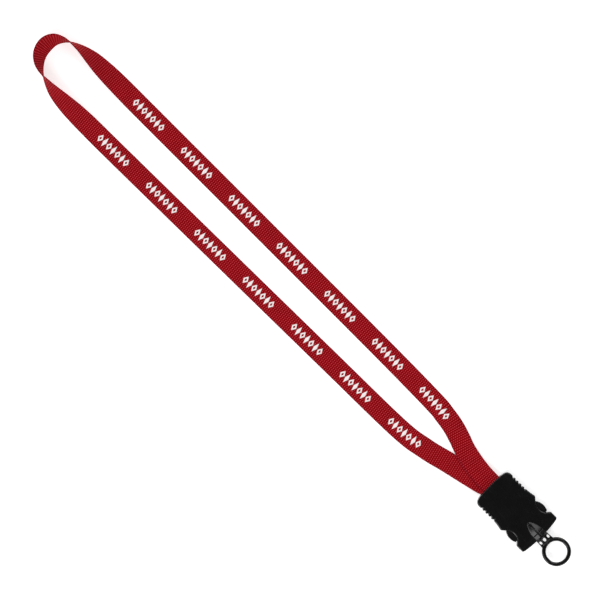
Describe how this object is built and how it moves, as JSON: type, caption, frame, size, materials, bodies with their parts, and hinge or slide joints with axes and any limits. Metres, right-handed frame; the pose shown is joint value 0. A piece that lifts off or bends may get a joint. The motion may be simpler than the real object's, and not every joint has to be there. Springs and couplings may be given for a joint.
{
  "type": "neck lanyard",
  "caption": "Neck lanyard: one woven strap looped into a two-shell side-release buckle, whose lower half carries a swivelling plastic ring.",
  "frame": {"origin": "centre of the O-ring's bore, which is also on the swivel axis", "axes": "+Y along the swivel axis from the ring towards the neck loop, +Z out of the buckle's front, +X to the right seen from the front; the part lies on the plane z = -5.3 mm"},
  "size_m": [0.0539, 0.5568, 0.016],
  "materials": {
    "webbing": "red flat-woven polyester with a slight sheen and a white repeat print on its face",
    "shell_plastic": "black moulded plastic with a fine satin grain",
    "release_plastic": "black moulded plastic, smooth satin",
    "ring_plastic": "black moulded plastic, polished by wear"
  },
  "bodies": {
    "clamp": {"neck_strap": "webbing", "front_shell": "shell_plastic", "back_shell": "shell_plastic"},
    "release": {"release_body": "release_plastic"},
    "prong_left": {"left_prong": "release_plastic"},
    "prong_right": {"right_prong": "release_plastic"},
    "ring": {"swivel_ring": "ring_plastic"}
  },
  "joints": [
    {"name": "release_slide", "type": "slide", "parent": "clamp", "child": "release", "axis": [0, -1, 0], "range_m": [0, 0.024], "deforming": ["left_prong", "right_prong"]},
    {"name": "right_squeeze", "type": "hinge", "parent": "release", "child": "prong_right", "pos_m": [0.0107, 0.0214, -0.0008], "axis": [0, 0, 1], "range_deg": [0, 17], "stiffness_Nm_per_rad": 0.1},
    {"name": "left_squeeze", "type": "hinge", "parent": "release", "child": "prong_left", "pos_m": [-0.0107, 0.0214, -0.0008], "axis": [0, 0, -1], "range_deg": [0, 17], "stiffness_Nm_per_rad": 0.1},
    {"name": "ring_swivel", "type": "hinge", "parent": "release", "child": "ring", "pos_m": [0, 0.018, 0], "axis": [0, 1, 0], "continuous": true}
  ]
}
